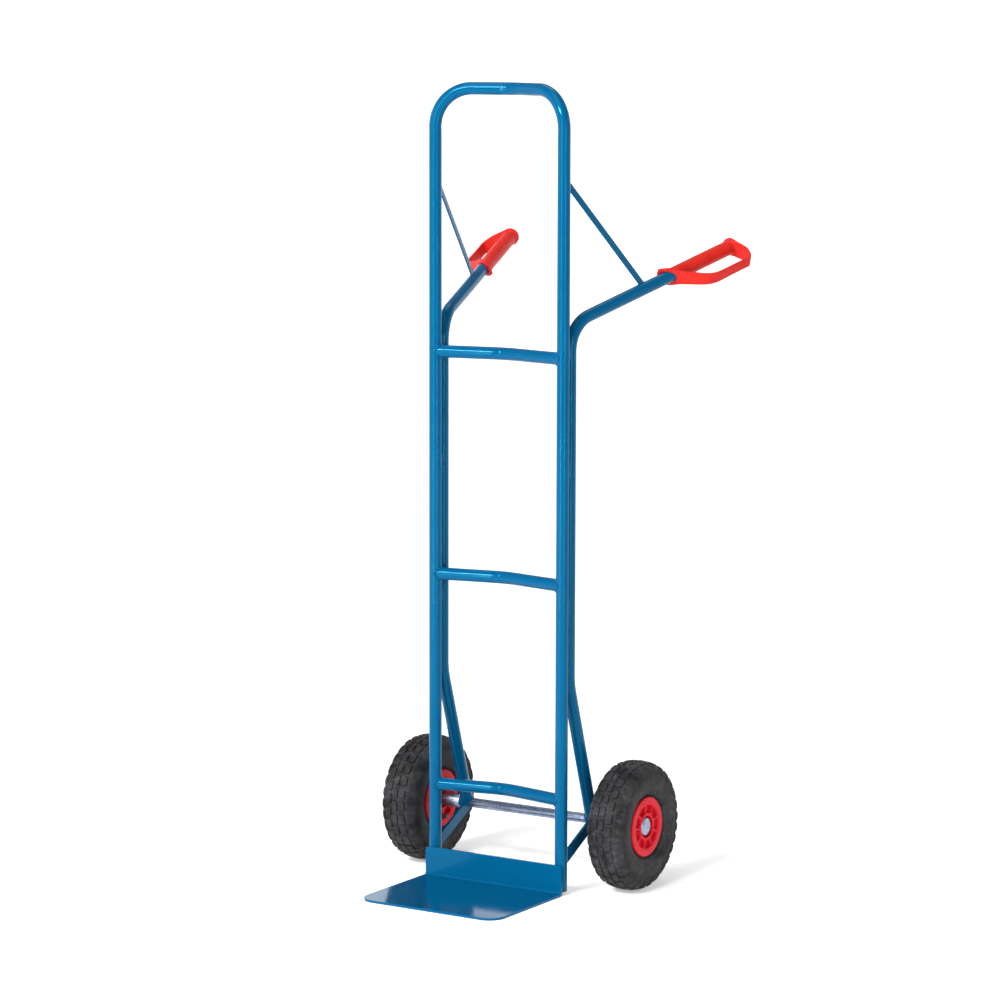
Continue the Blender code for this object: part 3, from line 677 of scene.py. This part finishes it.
# ---------------------------------------------------------------- grips, from a distance field
def surface_net(field, low, high, cell):
    """Quad mesh of a distance field's zero surface on a regular grid."""
    counts = [int(ceil((b - a) / cell)) + 1 for a, b in zip(low, high)]
    axes = [a + cell * np.arange(n) for a, n in zip(low, counts)]
    grid = field(axes[0][:, None, None], axes[1][None, :, None], axes[2][None, None, :])
    grid = np.broadcast_to(grid, counts)
    inside = grid < 0
    total = np.zeros([n - 1 for n in counts] + [3])
    crossed = np.zeros([n - 1 for n in counts])
    quads = []
    for axis in range(3):
        a = [slice(None)] * 3
        b = [slice(None)] * 3
        a[axis], b[axis] = slice(None, -1), slice(1, None)
        start, stop = grid[tuple(a)], grid[tuple(b)]
        cut = inside[tuple(a)] != inside[tuple(b)]
        where = np.argwhere(cut)
        share = start[cut] / (start[cut] - stop[cut])
        point = np.stack([axes[k][where[:, k]] for k in range(3)], 1)
        point[:, axis] += share * cell
        one, two = [k for k in range(3) if k != axis]
        cells = []
        for da, db in ((0, 0), (-1, 0), (-1, -1), (0, -1)):
            index = where.copy()
            index[:, one] += da
            index[:, two] += db
            cells.append(index)
            key = tuple(index.T)
            np.add.at(total, key, point)
            np.add.at(crossed, key, 1)
        quads.append(np.stack(cells, 1))
    used = crossed > 0
    number = np.full(used.shape, -1)
    number[used] = np.arange(used.sum())
    verts = total[used] / crossed[used][:, None]
    faces = np.concatenate([number[tuple(q.reshape(-1, 3).T)].reshape(-1, 4) for q in quads])
    for _ in range(3):                               # slide the points onto the true surface
        value = field(*verts.T)
        step = 0.02 * MM
        slope = np.stack([field(*(verts + d).T) - value for d in np.eye(3) * step], 1) / step
        size = np.maximum((slope ** 2).sum(1), 0.2)
        verts = verts - np.clip(value / size, -cell / 2, cell / 2)[:, None] * slope
    return verts, faces.tolist()


def blend_union(a, b, reach):
    share = np.clip(0.5 + 0.5 * (b - a) / reach, 0, 1)
    return b + (a - b) * share - reach * share * (1 - share)


def rounded_and(a, b, radius):
    """Intersection of two half-spaces whose shared edge is rounded."""
    a, b = a + radius, b + radius
    return (np.minimum(np.maximum(a, b), 0) + np.hypot(np.maximum(a, 0), np.maximum(b, 0))
            - radius)


# Grip sizes: along is counted up the handle tube from the corner of its upper bend
GRIP_BORE_R, GRIP_SLEEVE_R, GRIP_LIP_R = 13.0 * MM, 15.0 * MM, 17.4 * MM
GRIP_MOUTH, GRIP_HEEL, GRIP_END = 280 * MM, 265.5 * MM, 472 * MM
GRIP_BORE_END, END_PLATE_FROM = 452 * MM, 455 * MM
GUARD_HALF = 3.25 * MM
GRIP_ROLL = radians(22.3)


class Band:
    """The guard: a strip of varying width along a bent line in the (outwards, along) plane."""

    def __init__(self):
        corners = [(-14, 269.3), (62.7, 346), (61.8, 461), (38, 473.5), (-17, 469.4)]
        path = bent_path([(d, t, 0) for d, t in corners], [55, 18, 28], radians(6))
        self.points = np.array([(p.x, p.y) for p in path]) * MM
        steps = np.linalg.norm(np.diff(self.points, axis=0), axis=1)
        self.at = np.concatenate([[0], np.cumsum(steps)])
        end = self.at[-1] / MM
        half_widths = [(0, 16.2), (20, 16.0), (40, 15.2), (74, 13.8), (118, 11.6), (150, 10.8),
                       (170, 10.6), (end - 98, 10.6), (end - 84, 11.4), (end - 72, 13.4),
                       (end - 58, 15.4), (end - 40, 16.8), (end - 20, 17.4)]
        self.marks, self.half_widths = np.array(half_widths).T * MM

    def __call__(self, out, side, along):
        bulge = np.clip((along - 458 * MM) / (8 * MM), 0, 1) * 1.2 * MM
        along = along + bulge * (side / (17 * MM)) ** 2
        best = np.full(np.broadcast(out, along).shape, 1e9)
        where = np.zeros_like(best)
        for p, q, s in zip(self.points, self.points[1:], self.at):
            edge = q - p
            length = np.hypot(*edge)
            share = ((out - p[0]) * edge[0] + (along - p[1]) * edge[1]) / length ** 2
            share = np.clip(share, 0, 1)
            gap = np.hypot(out - p[0] - share * edge[0], along - p[1] - share * edge[1])
            near = gap < best
            best = np.where(near, gap, best)
            where = np.where(near, s + share * length, where)
        half_width = np.interp(where, self.marks, self.half_widths)
        strip = rounded_and(best - GUARD_HALF, np.abs(side) - half_width, 2.2 * MM)
        rounded_end = np.hypot(np.minimum(out, 0), side) - GRIP_LIP_R
        return np.where(along > END_PLATE_FROM, np.maximum(strip, rounded_end), strip)


BAND = Band()


def grip_field(out, side, along):
    """Guarded grip in local metres: outwards through the guard, across, along the handle."""
    round_ = np.hypot(out, side)
    mouth = (GRIP_MOUTH + out - along) / sqrt(2)     # positive outside the oblique mouth
    sleeve = rounded_and(round_ - GRIP_SLEEVE_R, np.maximum(mouth, along - GRIP_END), 1.2 * MM)
    lip = rounded_and(round_ - GRIP_LIP_R, np.maximum(mouth, -mouth - 6.2 * MM), 1.6 * MM)
    solid = blend_union(sleeve, lip, 6 * MM)
    solid = blend_union(solid, BAND(out, side, along), 8 * MM)
    solid = rounded_and(solid, mouth - 0.9 * MM, 2.0 * MM)
    solid = rounded_and(solid, GRIP_HEEL - along, 5.0 * MM)
    bore = np.maximum(round_ - GRIP_BORE_R, along - GRIP_BORE_END)
    return np.maximum(solid, -bore)


def grip_matrix(sign):
    """Local X outwards through the guard, local Z along the handle."""
    along = handle_direction(sign)
    level = Vector((along.y * sign, -along.x * sign, 0)).normalized()
    down = along.cross(level) * sign
    outwards = level * cos(GRIP_ROLL) + down * sin(GRIP_ROLL)
    return frame_matrix(outwards, along.cross(outwards), along, handle_point(sign, 0))


def build_grips():
    low, high = (-22 * MM, -20 * MM, 255 * MM), (70 * MM, 20 * MM, 480 * MM)
    verts, faces = surface_net(grip_field, low, high, 1.15 * MM)
    for side, sign in SIDES.items():
        mesh = make_mesh("guarded_grip_" + side, verts, faces, radians(50))
        mesh.transform(grip_matrix(sign))
        add_piece("guarded_grip_" + side, mesh, GRIP_RED, "grip_plastic", ["grip_" + side])


build_grips()


# ---------------------------------------------------------------- wheels
def hub_matrix(sign):
    """Middle of a wheel, with local Z outwards along the axle."""
    turned = Matrix.Rotation(sign * pi / 2, 4, "Y")
    if sign < 0:
        turned = turned @ Matrix.Rotation(pi, 4, "Z")
    place = JOINTS["wheel_right" if sign > 0 else "wheel_left"]
    return Matrix.Translation(place) @ turned


VALVE_R, VALVE_Z, SLEEVE_GAP = 36 * MM, -12 * MM, 0.3 * MM
RIM_WINDOWS = 9
RIM_SEGMENTS = 16 * RIM_WINDOWS
WINDOW_R, FACE_Z, POCKET_FLOOR = (28.0, 44.0), 32.0, 24.6      # of a rim half, in mm


def window_field(x, y):
    """Distance-like value, in mm, to one rounded window centred on local +X."""
    r, rib_half, corner = hypot(x, y), 1.6, 3.6
    rib = rib_half - r * sin(pi / RIM_WINDOWS - abs(atan2(y, x)))
    a, b = max(WINDOW_R[0] - r, r - WINDOW_R[1]) + corner, rib + corner
    return min(max(a, b), 0) + hypot(max(a, 0), max(b, 0)) - corner


def window_loop(inset, rays=44):
    """Outline of the window, moved inwards by inset mm."""
    middle, loop = sum(WINDOW_R) / 2 + 0.4, []
    for x, y in circle(1.0, rays):
        near, far = 0.0, 16.0
        for _ in range(26):                          # halve the gap until the edge is found
            mid = (near + far) / 2
            if window_field(middle + mid * x, mid * y) < -inset:
                near = mid
            else:
                far = mid
        loop.append((middle + near * x, near * y))
    return loop


def rim_mesh(name):
    """One rim half: flange, pocketed face, hub ring, barrel and hub tube."""
    outer_r, inner_r = 44.9, 27.3
    profile = fillet_profile(
        [(inner_r, FACE_Z), (26.8, 32.9), (22.2, 32.9), (21.7, 22.3), (16.2, 22.3), (16.2, 0.15),
         (20.5, 0.15), (21, 20.5), (46.8, 20.5), (46.8, 0.15), (50.5, 0.15), (50.5, 25.2),
         (56, 26.4), (59.7, 29.2), (60, 31.6), (58.6, 33.5), (45.6, 33.5), (outer_r, FACE_Z)],
        [0, 0.4, 0.6, 0, 0, 0.5, 0.5, 2, 2, 0.5, 0.5, 1.5, 2, 1, 0.9, 1.2, 0.9, 0])
    verts = [p for r, z in profile for p in level_ring(r, z, RIM_SEGMENTS)]
    faces = skin(0, RIM_SEGMENTS, len(profile))

    edge, levels = 0.8, []
    for i in range(4):                               # round-over, wall and foot of each pocket
        turn = pi / 2 * i / 3
        levels.append((-edge * (1 - sin(turn)), FACE_Z - edge * (1 - cos(turn))))
    levels += [(0.45, POCKET_FLOOR + 1.0), (0.75, POCKET_FLOOR + 0.3), (1.4, POCKET_FLOOR)]
    loops = [window_loop(inset) for inset, _ in levels]
    size, pitch = len(loops[0]), 2 * pi / RIM_WINDOWS
    flat = [Vector(p) for r in (outer_r, inner_r) for p in circle(r, RIM_SEGMENTS)]
    for w in range(RIM_WINDOWS):
        spin = Matrix.Rotation(pitch * w, 2)
        flat += [spin @ Vector(p) for p in loops[0]]
        start = len(verts)
        for loop, (_, z) in zip(loops, levels):
            verts += [Vector((*(spin @ Vector(p)), z)) * MM for p in loop]
        faces += skin(start, size, len(loops))
        faces.append(list(range(len(verts) - size, len(verts))))
    edges, first = [], 0
    for count in [RIM_SEGMENTS, RIM_SEGMENTS] + [size] * RIM_WINDOWS:
        edges += [(first + i, first + (i + 1) % count) for i in range(count)]
        first += count
    points, _, triangles, *_ = delaunay_2d_cdt(flat, edges, [], 0, 1e-4)
    start = len(verts)
    verts += [Vector((*p, FACE_Z)) * MM for p in points]
    for tri in triangles:
        mid = sum((points[i] for i in tri), Vector((0, 0))) / len(tri)
        turn = atan2(mid.y, mid.x)
        turn -= pitch * round(turn / pitch)
        inside = window_field(mid.length * cos(turn), mid.length * sin(turn)) < edge * 0.98
        if inner_r * 0.999 < mid.length < outer_r and not inside:
            faces.append([start + i for i in tri])
    return make_mesh(name, verts, faces, radians(40))


def smooth_curve(points, steps):
    """Catmull-Rom through (radius, offset) points."""
    points = [Vector(p) for p in points]
    padded = [2 * points[0] - points[1]] + points + [2 * points[-1] - points[-2]]
    curve = []
    for a, b, c, d in zip(padded, padded[1:], padded[2:], padded[3:]):
        for i in range(steps):
            t = i / steps
            curve.append(0.5 * ((2 * b) + (c - a) * t + (2 * a - 5 * b + 4 * c - d) * t * t
                                + (3 * b - a - 3 * c + d) * t ** 3))
    return curve + [points[-1]]


TREAD_PITCHES, TREAD_R, TREAD_ROOT = 30, 124.0, -0.8
CASING = smooth_curve([(126.0, 0), (125.7, 8), (124.6, 16), (122.4, 24), (118.6, 31), (113.4, 36.2),
                       (108.0, 39.2), (105.4, 40.0)], 8)
CASING_AT = np.concatenate([[0], np.cumsum([(b - a).length for a, b in zip(CASING, CASING[1:])])])


def casing_point(reach):
    """(radius, offset) on the casing, reach mm from the crown."""
    return Vector([np.interp(reach, CASING_AT, [p[k] for p in CASING]) for k in (0, 1)])


def on_casing(angle, across, height):
    """Place on the tyre: angle round the axle, mm across from the crown, mm above the casing."""
    reach = abs(across)
    slope = casing_point(min(reach + 1.5, CASING_AT[-1])) - casing_point(max(reach - 1.5, 0))
    out = Vector((slope.y, -slope.x)).normalized()
    r, z = casing_point(reach) + out * height
    return Vector((r * cos(angle), r * sin(angle), copysign(z, across))) * MM


def tread_block(half_long, half_wide, middle, slant, taper=0.0, flip=1, groove=False):
    """Rings of (round, across, height) in mm for one block, from its root to its top."""
    levels = [(-0.9, None), (0.0, 0.9), (0.25, 0.25), (0.9, 0.0)]    # inset, depth below the top
    levels += [(2.9, 0.0), (3.2, 0.8), (4.3, 0.8), (4.6, 0.0)] if groove else [(2.6, 0.0)]
    rings = []
    for inset, depth in levels:
        ring = []
        for x, y in rounded_rect(half_long - inset, half_wide - inset, max(2.6 - inset, 0.8)):
            top = np.interp(abs(middle + y), [0, 30, 38, 48], [3.9, 3.9, 2.6, 1.0])
            height = TREAD_ROOT if depth is None else top - depth
            ring.append((x * (1 + taper * y / half_wide) + slant * y, flip * (middle + y), height))
        rings.append(ring)
    return rings


def tyre_mesh(name):
    """Casing with raised sidewall rings, closed on the inside, and blocks set into its crown."""
    segments = 180
    half = [(p.x, p.y) for p in CASING]
    side = [(105.2, 40.75), (104.3, 40.95), (103.6, 40.3), (102.9, 40.3), (102.3, 40.85),
            (101.3, 40.95), (100.7, 40.45), (97.0, 40.9), (92.0, 40.95), (86.0, 40.3),
            (80.0, 38.9), (74.5, 36.9), (70.6, 34.9), (68.8, 34.4), (67.6, 34.7), (66.2, 34.0),
            (65.3, 32.2), (64.2, 30.6), (62.8, 29.0), (61.0, 27.7), (57.0, 25.9), (52.4, 25.2),
            (51.1, 23.8), (51.1, 15.0), (53.5, 15.2), (57.0, 17.5), (68.0, 26.5), (86.0, 34.6),
            (102.0, 34.6), (113.0, 30.0), (119.5, 18.0), (122.0, 0.0)]
    near = half + side
    loop = near + [(r, -z) for r, z in reversed(near[1:-1])]
    verts = [p * MM for r, z in loop for p in level_ring(r, z, segments)]
    faces = skin(0, segments, len(loop), closed=True)

    kinds = [(0.0, tread_block(8.8, 5.6, 0.0, 0.22))]
    for flip, shift in ((1, 0.0), (-1, 0.5)):
        kinds += [(shift + 0.5, tread_block(9.2, 6.4, 15.2, -0.16, -0.06, flip)),
                  (shift, tread_block(8.7, 10.8, 36.2, 0.0, 0.03, flip, groove=True))]
    for step in range(TREAD_PITCHES):
        for phase, rings in kinds:
            turn = 2 * pi * (step + phase) / TREAD_PITCHES
            start, size = len(verts), len(rings[0])
            verts += [on_casing(turn + x / TREAD_R, y, h) for ring in rings for x, y, h in ring]
            faces += skin(start, size, len(rings))
            top = len(verts) - size
            verts.append(sum(verts[top:], Vector()) / size)
            faces += [(top + i, top + (i + 1) % size, top + size) for i in range(size)]
            faces.append([start + i for i in reversed(range(size))])
    return make_mesh(name, verts, faces, radians(38))


def cap_mesh(name):
    """Push-on dome cap with a small dished centre mark."""
    profile = fillet_profile(
        [(0, 33.2), (2.2, 33.2), (2.9, 33.9), (4.2, 33.9), (11.5, 33.1), (17.4, 30.9),
         (18.7, 27.8), (18.8, 24.7), (10.35, 24.7), (10.35, 26.0), (16.2, 26.2), (14.5, 29.4),
         (9, 31.6), (0, 32.3)],
        [0, 0.3, 0.4, 1.0, 8, 3.2, 1.5, 0.3, 0.3, 0.3, 0.5, 1, 2, 0])
    return revolve(name, profile, 72, radians(50))


def fluted_cap(name, outer_r, low, high, flutes=18):
    """Valve cap: fluted skirt and a smooth rounded end."""
    verts, size = [], flutes * 4
    rows = [(low, 0.0, 0.0), (low, 0.97, 1.0), (low - 0.3, 1.0, 1.0), (high + 2.6, 1.0, 1.0),
            (high + 2.0, 0.96, 0.4), (high + 0.6, 0.90, 0.0), (high + 0.1, 0.72, 0.0),
            (high, 0.5, 0.0), (high, 0.0, 0.0)]
    for z, share, depth in rows:
        for i in range(size):
            turn = 2 * pi * i / size
            r = outer_r * share * (1 - 0.07 * depth * (0.5 - 0.5 * cos(flutes * turn)))
            verts.append(Vector((r * cos(turn), r * sin(turn), z)) * MM)
    return make_mesh(name, verts, skin(0, size, len(rows)), radians(50))


def ring_mesh(name, inner, outer, low, high):
    """Sleeve or washer with softened edges, sizes in mm."""
    profile = fillet_profile([(inner, low), (outer, low), (outer, high), (inner, high)],
                             [0.35] * 4, 2)
    return revolve(name, profile, 72)


def valve_mesh():
    """Bent rubber stem from the tube to the inner face of the rim."""
    path = bent_path([(60 * MM, 0, VALVE_Z), (VALVE_R, 0, VALVE_Z), (VALVE_R, 0, -38 * MM)],
                     [7 * MM], radians(8))
    return sweep("valve_body", path, [circle(3 * MM, 24)], up=(0, 1, 0))[0]


def build_wheels():
    """What turns rides on its wheel body; sleeve, washers and cap stay with the axle."""
    parked = Matrix.Rotation(WHEEL_TURN, 4, "Z")
    to_valve = parked @ Matrix.Translation((VALVE_R, 0, 0))
    rim = rim_mesh("rim_body")
    turning = [("treaded_tyre_", tyre_mesh("tyre_body"), parked, RUBBER, "tyre_rubber", "tyre_"),
               ("rim_half_outer_", rim, parked, RIM_RED, "rim_plastic", "rim_outer_"),
               ("rim_half_inner_", rim.copy(), parked @ Matrix.Rotation(pi, 4, "X"), RIM_RED,
                "rim_plastic", "rim_inner_"),
               ("rubber_valve_", valve_mesh(), parked, BUTYL, "butyl", "valve_stem_"),
               ("fluted_valve_cap_", fluted_cap("valve_cap_body", 4.2, -38.3, -49.0), to_valve,
                BLACK, "black_plastic", "valve_cap_")]
    for _, mesh, turned, *_ in turning:
        mesh.transform(turned)
    cap = cap_mesh("cap_body")
    for side, sign in SIDES.items():
        wheel, hub = "wheel_" + side, hub_matrix(sign)
        for name, mesh, _, mat, slot, node in turning:
            add_piece(name + side, mesh.copy(), mat, slot, [node + side], wheel, hub)
        start = (RAIL_X + TUBE_R + SLEEVE_GAP - sign * JOINTS[wheel].x) / MM
        add_piece("sleeve_tube_" + side,
                  ring_mesh("sleeve_tube_" + side, 10.3, 14.0, start, -24.6), ZINC, "zinc",
                  ["spacer_sleeve_" + side], matrix=hub)
        for where, flip in (("inner", -1), ("outer", 1)):
            washer = ring_mesh("plain_washer_%s_%s" % (where, side), 10.3, 17.0,
                               *sorted((22.6 * flip, 24.3 * flip)))
            add_piece(washer.name, washer, ZINC, "zinc", ["washer_%s_%s" % (where, side)],
                      matrix=hub)
        add_piece("dome_cap_" + side, cap.copy(), ZINC, "zinc", ["axle_cap_" + side], matrix=hub)
        paint_node("inner_tube_" + side, BUTYL)
        paint_node("roller_cage_" + side, NYLON)
        for i in range(1, 9):
            paint_node("bearing_roller_%s_%d" % (side, i), STEEL)


def build_axle():
    half = AXLE_HALF / MM
    profile = fillet_profile([(0, -half), (10, -half), (10, half), (0, half)], [0, 1, 1, 0], 3)
    place = Matrix.Translation((0, AXLE_Y, AXLE_Z)) @ Matrix.Rotation(pi / 2, 4, "Y")
    add_piece("axle_rod", revolve("axle_rod", profile, 64), ZINC, "zinc", ["axle"], matrix=place)


build_wheels()
build_axle()


# ---------------------------------------------------------------- floor, light and camera
VIEW_AZIMUTH = radians(32.34)         # front of the studio, where the camera is: from -Y to +X


def build_stage():
    """Pale floor that turns up into a far round wall, lit from within and dimmer at the front."""
    s = Shader("pale_studio_floor", Specular_IOR_Level=0.1, Roughness=0.85)
    s.bsdf.inputs["Emission Strength"].default_value = 0.60
    depth = s.node("ShaderNodeVectorMath", operation="DOT_PRODUCT")
    depth.inputs[1].default_value = (-sin(VIEW_AZIMUTH), cos(VIEW_AZIMUTH), 0.0)
    s.link(s.coords, depth.inputs[0])
    near = s.mix(s.spread(depth.outputs["Value"], -4.5, -1.2), (0.12,) * 3, (0.55,) * 3)
    far = s.mix(s.spread(depth.outputs["Value"], 1.0, 5.0), near, (1.05,) * 3)
    s.link(far, s.bsdf.inputs["Emission Color"])
    mat = s.done(s.mix(s.spread(s.noise(0.6, 3), 0.3, 0.7), (0.86,) * 3, (0.89,) * 3))
    flat_r, cove_r, wall_top, segments = 12, 3, 7, 96
    profile = [(0.02, 0), (3, 0), (8, 0), (flat_r, 0)]
    profile += [(flat_r + cove_r * sin(pi / 2 * i / 12), cove_r - cove_r * cos(pi / 2 * i / 12))
                for i in range(1, 13)] + [(flat_r + cove_r, wall_top)]
    verts = [p for r, z in profile for p in level_ring(r, z, segments)]
    faces = skin(0, segments, len(profile)) + [list(range(segments))]
    mesh = make_mesh("studio_floor", verts, faces, radians(60))
    floor = bpy.data.objects.new("studio_floor", mesh)
    bpy.context.scene.collection.objects.link(floor)
    mesh.materials.append(mat)


def heading_of(azimuth, elevation):
    """Unit vector away from the truck; azimuth is counted from -Y towards +X."""
    return Vector((sin(azimuth) * cos(elevation), -cos(azimuth) * cos(elevation), sin(elevation)))


def soft_light(name, azimuth, elevation, distance, size, radiance, aim=(0, 0, 0.9)):
    """Softbox that faces the truck; angles in degrees."""
    heading = heading_of(radians(azimuth), radians(elevation))
    data = bpy.data.lights.new(name, "AREA")
    data.shape, data.size, data.size_y = "RECTANGLE", *size
    data.energy = radiance * size[0] * size[1] * pi
    light = bpy.data.objects.new(name, data)
    light.location = Vector(aim) + heading * distance
    light.rotation_euler = (-heading).to_track_quat("-Z", "Y").to_euler()
    light.visible_camera = False
    bpy.context.scene.collection.objects.link(light)


def build_lights():
    world = bpy.data.worlds.new("studio")
    bpy.context.scene.world = world
    world.use_nodes = True
    background = world.node_tree.nodes["Background"]
    background.inputs["Color"].default_value = (0.97, 0.985, 1.0, 1.0)
    background.inputs["Strength"].default_value = 0.32
    soft_light("top_fill", 4, 60, 5.0, (3.0, 2.6), 2.4)
    soft_light("key_softbox", -4.5, 31, 8.0, (3.1, 1.0), 68)
    soft_light("rear_fill", 215, 68, 6.0, (3.0, 3.0), 1.6)
    for name, azimuth, distance, width in (("front_strip", -8, 3.6, 0.30),
                                           ("side_strip", 60, 3.8, 0.22)):
        soft_light(name, azimuth, -2, distance, (width, 2.4), 21, aim=(0, 0, 1.25))


def build_camera():
    elevation, roll = radians(7.838), radians(0.131)
    back = heading_of(VIEW_AZIMUTH, elevation)
    right = Vector((cos(VIEW_AZIMUTH), sin(VIEW_AZIMUTH), 0))
    up = back.cross(right)
    data = bpy.data.cameras.new("camera")
    data.sensor_width, data.lens = 36.0, 135.4
    data.clip_start, data.clip_end = 0.1, 60.0
    camera = bpy.data.objects.new("camera", data)
    turned_right = right * cos(roll) + up * sin(roll)
    turned_up = up * cos(roll) - right * sin(roll)
    camera.matrix_world = frame_matrix(turned_right, turned_up, back, (3.9482, -6.3326, 1.7946))
    bpy.context.scene.collection.objects.link(camera)
    bpy.context.scene.camera = camera


build_stage()
build_lights()
build_camera()
view = bpy.context.scene.view_settings
view.view_transform, view.look, view.exposure, view.gamma = "Standard", "None", 0.0, 1.0

bpy.context.view_layer.update()
